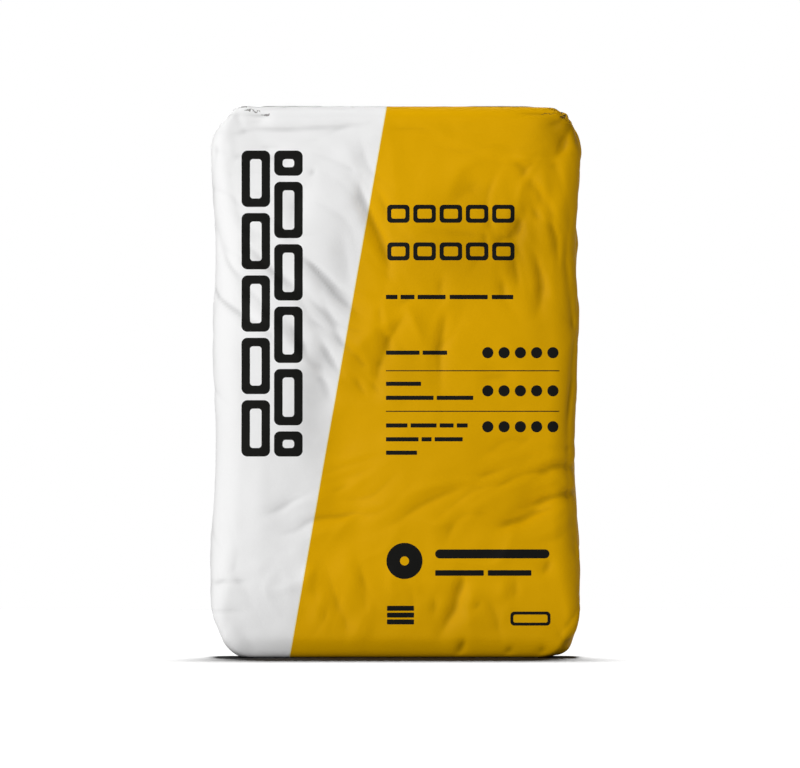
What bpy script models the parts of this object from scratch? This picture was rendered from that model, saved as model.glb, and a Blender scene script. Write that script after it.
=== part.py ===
"""A filled block-end cement sack, standing upright on its bottom end.

Units are metres and +Z is up. The printed front looks towards -Y, and +X is on
the right of it. The origin lies on the floor, under the middle of the sack.

The sack is a wide flat tube of plastic film. Each end is folded out to a
rectangle and closed with a glued cover strip, the end patch. The film carries
the powder, and the powder was blown in through a flat valve sleeve at one
short side of the top end.
"""

import math

import bmesh
import bpy

# Overall height from the floor to the top rim, and the thin layers of the sack
HEIGHT = 0.550
FILM = 0.0002
PATCH = 0.0004
GAP = 0.0003

# The top end sinks in by so much, and the powder ends so far below the rim
TOP_DISH = 0.004
HEADSPACE = 0.0064

# Height and half width of each swell and each waist, seen from the front
WIDTH_LINE = ((0.077, 0.1838), (0.212, 0.1790), (0.321, 0.1829), (0.406, 0.1795), (0.491, 0.1840))

# Height and half depth of each swell and each waist, seen from the side
DEPTH_LINE = ((0.040, 0.0570), (0.140, 0.0590), (0.310, 0.0560), (0.500, 0.0535))

# How much thinner the filled tube is at its sides than in its middle
SIDE_THINNING = 0.14

# Each end edge starts to draw in at a distance from the end (reach) and has
# drawn in by so much (depth) where it meets the end face
BOTTOM_REACH_X = 0.050
BOTTOM_DEPTH_X = 0.035
BOTTOM_REACH_Y = 0.022
BOTTOM_DEPTH_Y = 0.012
BOTTOM_ROUNDNESS = 2.0
TOP_REACH_X = 0.042
TOP_DEPTH_X = 0.0265
TOP_REACH_Y = 0.013
TOP_DEPTH_Y = 0.009
TOP_ROUNDNESS = 1.6

# Corner radius of the tube's section at the ends and where it is filled round
END_CORNER = 0.010
FULL_CORNER = 0.032
CORNER_REACH = 0.130

# Broad dents of the front: place across and up, reach across and up, and depth,
# which is below 0 for a swelling
FRONT_DENTS = (
    (-0.048, 0.175, 0.036, 0.078, 0.0050),
    (-0.030, 0.415, 0.032, 0.050, 0.0030),
    (-0.130, 0.330, 0.026, 0.036, -0.0020),
    (0.146, 0.165, 0.028, 0.026, 0.0024),
)

# The cover strips, as a share of the flat end face, and the top face's rings
PATCH_SHARE = 0.955
CAP_SHARES = (PATCH_SHARE, 0.80, 0.55)

# The valve sleeve: a flattened tube through the slot in the top left edge
SLEEVE_WIDTH = 0.070
SLEEVE_THICKNESS = 0.0012
SLEEVE_WALL = 0.0004
SLEEVE_LENGTH = 0.050
SLEEVE_LIP = 0.004
SLEEVE_SLOPE = math.radians(3.8)

# Divisions of the meshes
CORNER_STEPS = 6
SIDE_STEPS = 2
FRONT_STEPS = 14
EDGE_STEPS = 8
BODY_STEPS = 19
SLOT_ROW = 2
SLEEVE_STEPS = 4

FILM_BOTTOM = PATCH + GAP
BOTTOM_SHOULDER = FILM_BOTTOM + BOTTOM_REACH_X
TOP_SHOULDER = HEIGHT - TOP_REACH_X


def clear_scene():
    """Remove every object of the open file."""
    for item in list(bpy.data.objects):
        bpy.data.objects.remove(item, do_unlink=True)


def make_collection(name):
    """A collection of this name, linked to the scene."""
    collection = bpy.data.collections.new(name)
    bpy.context.scene.collection.children.link(collection)
    return collection


def make_material(name, colour, roughness):
    """A plain Principled material."""
    material = bpy.data.materials.new(name)
    material.use_nodes = True
    shader = material.node_tree.nodes["Principled BSDF"]
    shader.inputs["Base Color"].default_value = (*colour, 1.0)
    shader.inputs["Roughness"].default_value = roughness
    shader.inputs["Metallic"].default_value = 0.0
    return material


def smooth_step(share):
    """A share from 0 to 1, eased at both ends."""
    share = min(max(share, 0.0), 1.0)
    return share * share * (3.0 - 2.0 * share)


def along(line, height):
    """The value at a height on a smooth wave through its high and low places."""
    for (low, low_value), (high, high_value) in zip(line, line[1:]):
        if height <= high:
            return low_value + (high_value - low_value) * smooth_step((height - low) / (high - low))
    return line[-1][1]


def drawn_in(distance, reach, depth, roundness):
    """How far an end edge has drawn in at a distance from the end."""
    share = max(0.0, 1.0 - max(distance, 0.0) / reach)
    return depth * (1.0 - (1.0 - share ** roundness) ** (1.0 / roundness))


def section(height):
    """The film's half width, half depth, corner radius and thinning at a height."""
    above = height - FILM_BOTTOM
    below = HEIGHT - height
    width = along(WIDTH_LINE, height)
    width -= drawn_in(above, BOTTOM_REACH_X, BOTTOM_DEPTH_X, BOTTOM_ROUNDNESS)
    width -= drawn_in(below, TOP_REACH_X, TOP_DEPTH_X, TOP_ROUNDNESS)
    depth = along(DEPTH_LINE, height)
    depth -= drawn_in(above, BOTTOM_REACH_Y, BOTTOM_DEPTH_Y, BOTTOM_ROUNDNESS)
    depth -= drawn_in(below, TOP_REACH_Y, TOP_DEPTH_Y, TOP_ROUNDNESS)
    fullness = smooth_step(min(above, below) / CORNER_REACH)
    corner = END_CORNER + (FULL_CORNER - END_CORNER) * fullness
    return width, depth, min(corner, depth - GAP), SIDE_THINNING * fullness


def dent(x, height):
    """How deep the front is dented at a place."""
    return sum(depth * math.exp(-((x - across) / reach_x) ** 2 - ((height - up) / reach_z) ** 2)
               for across, up, reach_x, reach_z, depth in FRONT_DENTS)


def shaped(x, y, width, thinning, height):
    """A point of a level, once the sides are thinned and the front is dented."""
    thinned = y * (1.0 - thinning * (x / width) ** 2)
    return x, thinned + (dent(x, height) if y < 0.0 else 0.0), height


def ring(width, depth, corner, thinning, height):
    """The points of one level, from the right side on round the back.

    A level is a rectangle with round corners, whose long sides bow outwards.
    """
    flat_x = width - corner
    flat_y = depth - corner
    points = []
    for quarter in range(4):
        centre_x = flat_x if quarter in (0, 3) else -flat_x
        centre_y = flat_y if quarter in (0, 1) else -flat_y
        for step in range(CORNER_STEPS):
            angle = math.pi / 2.0 * (quarter + step / CORNER_STEPS)
            points.append((centre_x + corner * math.cos(angle), centre_y + corner * math.sin(angle)))
        start_angle = math.pi / 2.0 * (quarter + 1)
        start_x = centre_x + corner * math.cos(start_angle)
        start_y = centre_y + corner * math.sin(start_angle)
        steps = FRONT_STEPS if quarter in (0, 2) else SIDE_STEPS
        run_x = -2.0 * centre_x if quarter in (0, 2) else 0.0
        run_y = 0.0 if quarter in (0, 2) else -2.0 * centre_y
        for step in range(steps):
            share = step / steps
            points.append((start_x + run_x * share, start_y + run_y * share))
    return [shaped(x, y, width, thinning, height) for x, y in points]


def body_levels():
    """The heights of the levels, close together where the end edges turn."""
    quarter = math.pi / 2.0
    turns = [1.0 - math.cos(quarter * step / EDGE_STEPS) for step in range(EDGE_STEPS)]
    rise = TOP_SHOULDER - BOTTOM_SHOULDER
    bottom = [FILM_BOTTOM + BOTTOM_REACH_X * turn for turn in turns]
    middle = [BOTTOM_SHOULDER + rise * step / BODY_STEPS for step in range(BODY_STEPS + 1)]
    top = [HEIGHT - TOP_REACH_X * turn for turn in reversed(turns)]
    return bottom + middle + top


def cap_height(share):
    """Height of the film's sunken top face at a share of its half width."""
    inner = CAP_SHARES[-1]
    return HEIGHT - TOP_DISH * (1.0 - ((share - inner) / (1.0 - inner)) ** 2)


def cap_rings(lift):
    """The levels of the top face inside its edge, lifted by so much."""
    width, depth, corner, thinning = section(HEIGHT)
    return [ring(width * share, depth * share, corner * share, thinning, cap_height(share) + lift)
            for share in CAP_SHARES]


def loft(name, rings, material, collection, slot=None, closed_below=True):
    """Join levels of points into one skin, closed by a flat face at the top.

    slot is a row between two levels and the first and last column left open.
    """
    mesh = bpy.data.meshes.new(name)
    form = bmesh.new()
    levels = [[form.verts.new(point) for point in points] for points in rings]
    for row, (lower, upper) in enumerate(zip(levels, levels[1:])):
        for column in range(len(lower)):
            if slot and row == slot[0] and slot[1] <= column < slot[2]:
                continue
            after = (column + 1) % len(lower)
            form.faces.new((lower[column], lower[after], upper[after], upper[column]))
    form.faces.new(levels[-1])
    if closed_below:
        form.faces.new(list(reversed(levels[0])))
    form.to_mesh(mesh)
    form.free()
    mesh.materials.append(material)
    mesh.shade_smooth()
    mesh.set_sharp_from_angle(angle=math.radians(40.0))
    item = bpy.data.objects.new(name, mesh)
    collection.objects.link(item)
    return item


def thicken(item, thickness, offset):
    """Give an open skin its thickness, outwards for 1 and inwards for -1."""
    modifier = item.modifiers.new("Thickness", "SOLIDIFY")
    modifier.thickness = thickness
    modifier.offset = offset
    modifier.use_even_offset = True


def make_sack(material, collection):
    """The film: the filled tube with both block ends, open at the valve slot."""
    rings = [ring(*section(height), height) for height in body_levels()]
    slot_level = len(rings) - 1 - SLOT_ROW
    slot_start = CORNER_STEPS * 2 + FRONT_STEPS
    slot = (slot_level, slot_start, slot_start + SIDE_STEPS)
    item = loft("sack", rings + cap_rings(0.0), material, collection, slot=slot)
    thicken(item, FILM, -1.0)
    return item


def make_fill(material, collection):
    """The powder, which fills the film up to a small space under the sleeve."""
    inset = FILM + 2.0 * GAP
    rings = []
    for height in body_levels():
        width, depth, corner, thinning = section(height)
        above = (height - FILM_BOTTOM) / BOTTOM_REACH_X
        below = (HEIGHT - height) / TOP_REACH_X
        lowered = height + inset * max(0.0, 1.0 - above) - HEADSPACE * max(0.0, 1.0 - below)
        rings.append(ring(width - inset, depth - inset, corner - inset, thinning, lowered))
    return loft("cement_fill", rings, material, collection)


def make_top_patch(material, collection):
    """The cover strip on the top end, which lies in its hollow."""
    item = loft("top_patch", cap_rings(GAP), material, collection, closed_below=False)
    thicken(item, PATCH, 1.0)
    return item


def make_bottom_patch(material, collection):
    """The cover strip under the bottom end, on which the sack stands."""
    width, depth, corner, thinning = [size * PATCH_SHARE for size in section(FILM_BOTTOM)]
    rings = [ring(width, depth, corner, thinning, height) for height in (0.0, PATCH)]
    return loft("bottom_patch", rings, material, collection)


def add_slot_outline(curve, half_width, radius):
    """A long outline with half-round ends, one closed spline of a flat curve."""
    points = []
    for side in (1.0, -1.0):
        for step in range(SLEEVE_STEPS + 1):
            angle = math.pi * step / SLEEVE_STEPS
            across = side * (half_width - radius + radius * math.sin(angle))
            points.append((side * radius * math.cos(angle), across))
    spline = curve.splines.new("POLY")
    spline.points.add(len(points) - 1)
    for place, (x, y) in zip(spline.points, points):
        place.co = (x, y, 0.0, 1.0)
    spline.use_cyclic_u = True


def make_valve_sleeve(material, collection):
    """The flattened filling tube, which slopes down from its lip to its open inner end."""
    curve = bpy.data.curves.new("valve_sleeve", "CURVE")
    curve.dimensions = "2D"
    curve.fill_mode = "BOTH"
    curve.extrude = SLEEVE_LENGTH / 2.0
    add_slot_outline(curve, SLEEVE_WIDTH / 2.0, SLEEVE_THICKNESS / 2.0)
    add_slot_outline(curve, SLEEVE_WIDTH / 2.0 - SLEEVE_WALL, SLEEVE_THICKNESS / 2.0 - SLEEVE_WALL)
    curve.materials.append(material)
    item = bpy.data.objects.new("valve_sleeve", curve)
    collection.objects.link(item)
    levels = body_levels()
    upper_lip = levels[len(levels) - SLOT_ROW]
    inside = SLEEVE_LENGTH / 2.0 - SLEEVE_LIP
    middle = -section(upper_lip)[0] + inside * math.cos(SLEEVE_SLOPE)
    height = upper_lip - FILM - GAP - SLEEVE_THICKNESS / 2.0 - inside * math.sin(SLEEVE_SLOPE)
    item.location = (middle, 0.0, height)
    item.rotation_euler = (0.0, math.pi / 2.0 + SLEEVE_SLOPE, 0.0)
    return item


def main():
    """Build the sack."""
    clear_scene()
    collection = make_collection("cement_bag")
    film = make_material("film", (0.66, 0.37, 0.0), 0.38)
    strip = make_material("end_strip", (0.80, 0.80, 0.78), 0.45)
    sleeve = make_material("sleeve", (0.72, 0.71, 0.68), 0.50)
    powder = make_material("powder", (0.30, 0.29, 0.27), 0.95)
    make_sack(film, collection)
    make_fill(powder, collection)
    make_top_patch(strip, collection)
    make_bottom_patch(strip, collection)
    make_valve_sleeve(sleeve, collection)


main()
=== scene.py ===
"""The looks of a filled block-end cement sack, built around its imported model.

Units are metres and +Z is up. The printed front looks towards -Y, and +X is on
the right of it. The film is worked out in millimetres, and places on it are its
measure round the sack from the middle of the front, and its height.
"""

import math

import bpy
import numpy as np
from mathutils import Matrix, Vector


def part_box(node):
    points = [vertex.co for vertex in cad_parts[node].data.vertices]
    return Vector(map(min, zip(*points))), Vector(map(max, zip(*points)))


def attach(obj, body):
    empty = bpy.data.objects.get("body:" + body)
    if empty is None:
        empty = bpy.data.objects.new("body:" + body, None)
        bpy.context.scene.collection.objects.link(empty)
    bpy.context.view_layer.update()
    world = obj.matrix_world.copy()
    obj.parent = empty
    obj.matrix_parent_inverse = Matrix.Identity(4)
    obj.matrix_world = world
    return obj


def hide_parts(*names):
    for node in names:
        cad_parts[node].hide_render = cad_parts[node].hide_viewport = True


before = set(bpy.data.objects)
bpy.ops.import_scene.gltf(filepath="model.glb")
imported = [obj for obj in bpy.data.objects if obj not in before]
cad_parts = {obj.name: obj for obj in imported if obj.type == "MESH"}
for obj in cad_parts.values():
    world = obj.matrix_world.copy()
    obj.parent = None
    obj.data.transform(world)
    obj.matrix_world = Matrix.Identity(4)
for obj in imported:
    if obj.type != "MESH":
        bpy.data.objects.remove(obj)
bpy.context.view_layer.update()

MM = 0.001
SEED = 11

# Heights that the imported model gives, in mm
film_low, film_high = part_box("sack")
LOW = film_low.z / MM
TOP = film_high.z / MM

# The film's form: height and half width, then height and half depth, of each
# swell and each waist
WIDTH_LINE = ((77, 183.8), (212, 179.0), (321, 182.9), (406, 179.5), (491, 184.0))
DEPTH_LINE = ((40, 57.0), (140, 59.0), (310, 56.0), (500, 53.5))
SIDE_THINNING = 0.14

# How each end edge draws in: reach, depth and roundness
BOTTOM_EDGE_X = (50.0, 35.0, 2.0)
BOTTOM_EDGE_Y = (22.0, 12.0, 2.0)
TOP_EDGE_X = (42.0, 26.5, 1.6)
TOP_EDGE_Y = (13.0, 9.0, 1.6)
TOP_DISH = 4.0
END_CORNER = 10.0
FULL_CORNER = 27.0
CORNER_REACH = 130.0

# Broad dents of the front: place across and up, reach across and up, and depth
FRONT_DENTS = (
    (-48.0, 175.0, 36.0, 78.0, 5.0),
    (-30.0, 415.0, 32.0, 50.0, 3.0),
    (-130.0, 330.0, 26.0, 36.0, -2.0),
    (146.0, 165.0, 28.0, 26.0, 2.4),
)

# Shares of the top end's half width that its rings of points have
CAP_SHARES = (0.985, 0.965, 0.94, 0.90, 0.84, 0.76, 0.66, 0.54, 0.40, 0.24, 0.10)
GAP = 0.3

# The half round of the flat tube, the middle of a side on it, and the overlap
# seam: its half width, rise and half the width of its step
HALF_TUBE = 434.0
SIDE_MIDDLE = HALF_TUBE / 2.0
SEAM_HALF = 12.0
SEAM_RISE = 0.5
SEAM_STEP = 0.4

# Spacing of the film's mesh, and how far from the front's middle it is fine
ROW_STEP = 2.3
FRONT_STEP = 2.2
BACK_STEP = 3.4
FINE_HALF = 235.0

# The cloth simulation: its mesh step, how much too large the film is, its frames,
# its scene units in a millimetre, and how far it may move the film
CLOTH_STEP = 9.0
CLOTH_LOOSE = 0.006
CLOTH_FRAMES = 24
CLOTH_UNIT = 0.01
CLOTH_LIMIT = 4.0

# Shares of the cloth's movement that the front and the sides use, how far a side
# reaches, and how far from the ends the movement fades out
FRONT_CLOTH = 0.45
SIDE_CLOTH = 0.3
SIDE_REACH = 45.0
CLOTH_FADE = 20.0

# How much deeper and narrower the folds are made than they were read from the
# front, because they show too faintly in the soft light
DEEPER = 1.6
TIGHTER = 0.8

# How much higher the seeded creases are than STREAKS says, and the share of them
# that are hollows
STREAK_RISE = 1.4
HOLLOW_SHARE = 0.6

# How far above the bottom end the folds and the pushes have come in
FOLD_FADE = 6.0
PUSH_FADE = 4.0

# Thin painted shadow lines under the crumpled film of the top corners: middle,
# half length, half height and corner
CREVICE_SHADOWS = (
    (-151.0, 549.3, 3.0, 0.5, 0.3),
    (-147.0, 546.2, 3.5, 0.5, 0.3),
    (-139.0, 545.6, 4.0, 0.5, 0.3),
    (-130.0, 542.4, 4.5, 0.5, 0.3),
    (152.0, 543.6, 7.0, 0.4, 0.3),
    (168.0, 540.6, 3.5, 0.8, 0.4),
    (176.0, 541.5, 3.0, 0.9, 0.4),
)

# Soft pushes of the end corners: place on the film, reach and rise
PUSHES = (
    ((-217, 541), (46, 12), -6.0),
    ((222, 547), (60, 9), -3.4),
    ((184, 542), (6, 4), 3.6),
    ((194, 536), (5, 3), 1.6),
    ((-217, 22), (46, 17), -7.5),
    ((212, 10), (46, 8), 4.2),
)

# The powder's inset from the film, and how far it ends below the top
POWDER_INSET = 1.6
POWDER_BELOW = 10.0

# The top cover: its share of the top end, its height over the cap, and how far its
# ends sink from a share of the half width on. They sink to stay inside the
# pushed-in corners, and near the corners they go below the film's cap.
COVER_SHARE = 0.955
COVER_LIFT = 0.25
COVER_SINK = 4.0
COVER_SINK_FROM = 0.80

# The filling sleeve: how far in from its solid's end it starts, how far below the
# solid's top it lies, half its thickness and its slope in degrees
SLEEVE_START = 6.0
SLEEVE_BELOW = 2.2
SLEEVE_HALF = 0.6
SLEEVE_SLOPE = 3.8

# The slanted edge between white and yellow: its slope and its place at the floor
PRINT_SLOPE = 96.5 / 548.0
PRINT_START = -105.5

# How brightly the world lights from the left and from the right
WORLD_LEFT = 0.15
WORLD_RIGHT = 0.57

# How deep a crease is that takes the full painted shade, and how much darker
# that painted shade makes the print. Then soft areas of painted shade on the
# print: middle, reach and strength, which is below 0 for an area of painted
# light. They stand for shade and light that this studio's lamps don't give.
CREASE_DEPTH = 0.9
CREASE_SHADE = 0.30
PAINTED_SHADES = (
    ((70, 405), (78, 40), 0.18),
    ((128, 425), (24, 34), 0.14),
    ((-52, 350), (22, 75), 0.14),
    ((-87, 252), (14, 44), 0.21),
    ((150, 335), (20, 70), 0.12),
    ((166, 530), (20, 17), 0.45),
    ((152, 500), (24, 32), 0.13),
    ((0, 290), (44, 30), 0.08),
    ((75, 464), (24, 12), 0.09),
    ((20, 235), (220, 80), 0.05),
    ((30, 82), (150, 30), -0.07),
    ((-30, 4), (150, 14), 0.09),
    ((20, 545), (150, 8), -0.09),
)


def smooth_step(share):
    """Shares from 0 to 1, eased at both ends."""
    share = np.clip(share, 0.0, 1.0)
    return share * share * (3.0 - 2.0 * share)


def along(line, height):
    """Values at heights on a smooth wave through its high and low places."""
    value = np.full_like(height, line[0][1])
    for (low, low_value), (high, high_value) in zip(line, line[1:]):
        value += (high_value - low_value) * smooth_step((height - low) / (high - low))
    return value


def drawn_in(distance, edge):
    """How far an end edge has drawn in at distances from the end."""
    reach, depth, roundness = edge
    share = np.clip(1.0 - np.maximum(distance, 0.0) / reach, 0.0, 1.0)
    return depth * (1.0 - (1.0 - share ** roundness) ** (1.0 / roundness))


def section(height):
    """The film's half width, half depth, corner radius and thinning at heights."""
    above = height - LOW
    below = TOP - height
    width = along(WIDTH_LINE, height) - drawn_in(above, BOTTOM_EDGE_X) - drawn_in(below, TOP_EDGE_X)
    depth = along(DEPTH_LINE, height) - drawn_in(above, BOTTOM_EDGE_Y) - drawn_in(below, TOP_EDGE_Y)
    fullness = smooth_step(np.minimum(above, below) / CORNER_REACH)
    corner = END_CORNER + (FULL_CORNER - END_CORNER) * fullness
    return width, depth, np.minimum(corner, depth - GAP), SIDE_THINNING * fullness


def ring_points(share, width, depth, corner, thinning):
    """Points round a level, by their share of the way round from the front's middle.

    A share runs from -1 to 1, through the right side, and both ends meet at the
    middle of the back. Their measure on the flat film comes back too, which is
    true from the middle of the front and from the middle of the back.
    """
    flat_x = width - corner
    flat_y = depth - corner
    arc = corner * math.pi / 2.0
    half_round = 2.0 * flat_x + 2.0 * flat_y + 2.0 * arc
    run = np.abs(share) * half_round
    measure = run + (HALF_TUBE - half_round) * smooth_step((np.abs(share) - 0.46) / 0.14)
    first = np.clip(run - flat_x, 0.0, arc) / corner
    side = np.clip(run - flat_x - arc, 0.0, 2.0 * flat_y)
    second = np.clip(run - flat_x - arc - 2.0 * flat_y, 0.0, arc) / corner
    back = np.clip(run - flat_x - 2.0 * arc - 2.0 * flat_y, 0.0, None)
    x = np.minimum(run, flat_x) + corner * np.sin(first) - corner * (1.0 - np.cos(second)) - back
    y = -depth + corner * (1.0 - np.cos(first)) + side + corner * np.sin(second)
    y = y * (1.0 - thinning * (x / width) ** 2)
    return np.sign(share) * x, y, np.sign(share) * measure


def seen_to_round(seen):
    """Places on the film from places seen on the front, which may run on past its outline."""
    across, up = np.array(seen, float).T
    width, _, corner, _ = section(up)
    flat = width - corner
    turned = np.clip((np.abs(across) - flat) / corner, 0.0, 1.0)
    beyond = np.maximum(np.abs(across) - width, 0.0)
    measure = np.minimum(np.abs(across), flat) + corner * np.arcsin(turned) + beyond
    return np.stack([np.sign(across) * measure, up], -1)


def film_rows():
    """Heights of the film's rows, close together where the end edges turn."""
    turn_low = BOTTOM_EDGE_Y[0]
    turn_high = TOP_EDGE_Y[0]
    low_turn = 1.0 - np.cos(np.linspace(0.0, math.pi / 2.0, 15))
    high_turn = 1.0 - np.cos(np.linspace(0.0, math.pi / 2.0, 12))
    middle = TOP - turn_high - LOW - turn_low
    count = int(round(middle / ROW_STEP))
    rows = [LOW + turn_low * low_turn]
    rows.append(np.linspace(LOW + turn_low, TOP - turn_high, count + 1)[1:])
    rows.append((TOP - turn_high * high_turn)[::-1][1:])
    return np.concatenate(rows)


def film_columns():
    """Shares round the film of its columns: fine on the front, coarser behind."""
    front = FINE_HALF / HALF_TUBE
    fine = int(round(2.0 * FINE_HALF / FRONT_STEP))
    coarse = int(round((HALF_TUBE - FINE_HALF) / BACK_STEP))
    right = np.linspace(front, 1.0, coarse + 1)[1:]
    seam = np.array([SEAM_HALF - SEAM_STEP, SEAM_HALF + SEAM_STEP])
    right = np.sort(np.append(right, 1.0 - seam / HALF_TUBE))
    return np.concatenate([-right[:-1][::-1], np.linspace(-front, front, fine + 1), right])


def film_grid(rows, columns):
    """Points (rows, columns, xyz) of the smooth film, and its measure across."""
    height = np.repeat(rows[:, None], len(columns), 1)
    share = np.repeat(columns[None, :], len(rows), 0)
    x, y, across = ring_points(share, *section(height))
    for middle, up, reach_x, reach_z, depth in FRONT_DENTS:
        dent = depth * np.exp(-((x - middle) / reach_x) ** 2 - ((height - up) / reach_z) ** 2)
        y = y + np.where(y < 0.0, dent, 0.0)
    return np.stack([x, y, height], -1), across


def grid_normals(points):
    """Outward normals of a grid of points that closes on itself sideways."""
    sideways = np.roll(points, -1, 1) - np.roll(points, 1, 1)
    upwards = np.gradient(points, axis=0)
    normal = np.cross(sideways, upwards)
    return normal / np.maximum(np.linalg.norm(normal, axis=-1, keepdims=True), 1e-9)


class Fold:
    """A crease, ridge or hollow along a smooth line over the film.

    rise is its height, and below 0 its depth. left and right are how fast it
    fades away on each side, looked at from its first point. Points are places
    on the film, or places seen on the front, and the line runs on a little past
    both ends, where it fades out.
    """

    def __init__(self, rise, left, right, points, soft=1.0, fade=(0.5, 0.5), seen=True, run_on=0.22):
        points = seen_to_round(points) if seen else np.array(points, float)
        length = np.linalg.norm(np.diff(points, axis=0), axis=1).sum()
        start_way = points[0] - points[1]
        end_way = points[-1] - points[-2]
        first = points[0] + start_way * run_on * length / np.linalg.norm(start_way)
        last = points[-1] + end_way * run_on * length / np.linalg.norm(end_way)
        self.points = np.vstack([first, points, last])
        self.rise = rise * DEEPER
        self.left = TIGHTER * min(left, 0.2 * length + 1.5)
        self.right = TIGHTER * min(right, 0.2 * length + 1.5)
        self.soft = soft
        self.fade = fade

    def line(self):
        """Points close together on a curve through the fold's own points."""
        ends = np.vstack([2 * self.points[0] - self.points[1], self.points,
                          2 * self.points[-1] - self.points[-2]])
        steps = np.linspace(0.0, 1.0, 6)[:-1, None]
        curve = []
        for before, start, end, after in zip(ends, ends[1:], ends[2:], ends[3:]):
            curve.append(0.5 * (2 * start + (end - before) * steps
                                + (2 * before - 5 * start + 4 * end - after) * steps ** 2
                                + (3 * start - before - 3 * end + after) * steps ** 3))
        return np.vstack(curve + [self.points[-1:]])

    def add_to(self, height, across, up):
        """Add the fold to a height field at places across and up."""
        curve = self.line()
        reach = 4.5 * max(self.left, self.right) + 2.0
        near = ((across > curve[:, 0].min() - reach) & (across < curve[:, 0].max() + reach)
                & (up > curve[:, 1].min() - reach) & (up < curve[:, 1].max() + reach))
        if not near.any():
            return
        spot = np.stack([across[near], up[near]], -1)
        best = np.full(len(spot), 1e9)
        side = np.zeros(len(spot))
        place = np.zeros(len(spot))
        lengths = np.linalg.norm(np.diff(curve, axis=0), axis=1)
        run = np.concatenate([[0.0], np.cumsum(lengths)]) / lengths.sum()
        for index, (start, end) in enumerate(zip(curve, curve[1:])):
            step = end - start
            share = np.clip(((spot - start) @ step) / (step @ step), 0.0, 1.0)
            away = spot - start - share[:, None] * step
            distance = np.hypot(away[:, 0], away[:, 1])
            closer = distance < best
            turn = (step[0] * away[:, 1] - step[1] * away[:, 0]) / np.hypot(*step)
            side = np.where(closer, turn, side)
            place = np.where(closer, run[index] + share * (run[index + 1] - run[index]), place)
            best = np.where(closer, distance, best)
        blend = smooth_step(0.5 + 0.5 * side / self.soft)
        width = self.right + (self.left - self.right) * blend
        rounded = np.sqrt(best ** 2 + self.soft ** 2) - self.soft
        ends = smooth_step((place + 0.02) / self.fade[0]) * smooth_step((1.02 - place) / self.fade[1])
        height[near] += self.rise * np.exp(-rounded / width) * ends


# Folds of the front, as seen on it: rise, fading left and right, and points from
# below up, or from the left to the right
BROAD_FOLDS = (
    Fold(-1.6, 30, 30, [(-66, 150), (-58, 215), (-52, 280)], soft=10, run_on=0.1),
    Fold(1.3, 26, 30, [(-46, 45), (-46, 75), (-46, 110)], soft=10),
    Fold(1.4, 26, 14, [(-138, 60), (-136, 150), (-132, 260)], soft=8),
    Fold(-1.8, 14, 12, [(-48, 360), (-50, 395), (-54, 430)], soft=4),
    Fold(-2.0, 10, 9, [(-100, 438), (-97, 455), (-94, 470)], soft=3),
    Fold(-1.2, 18, 18, [(44, 446), (71, 466), (88, 480)], soft=4),
    Fold(1.4, 20, 10, [(50, 455), (58, 475), (67, 489), (82, 497), (98, 508)], soft=3),
    Fold(-1.4, 9, 10, [(18, 426), (60, 424), (112, 419)], soft=3),
    Fold(-1.2, 10, 10, [(84, 279), (116, 283)], soft=3),
    Fold(1.8, 10, 14, [(151, 458), (149, 474), (146, 490)], soft=3),
    Fold(1.5, 14, 14, [(-88, 70), (-84, 92)], soft=5),
    Fold(1.2, 10, 10, [(106, 58), (108, 78)], soft=4),
)
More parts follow.
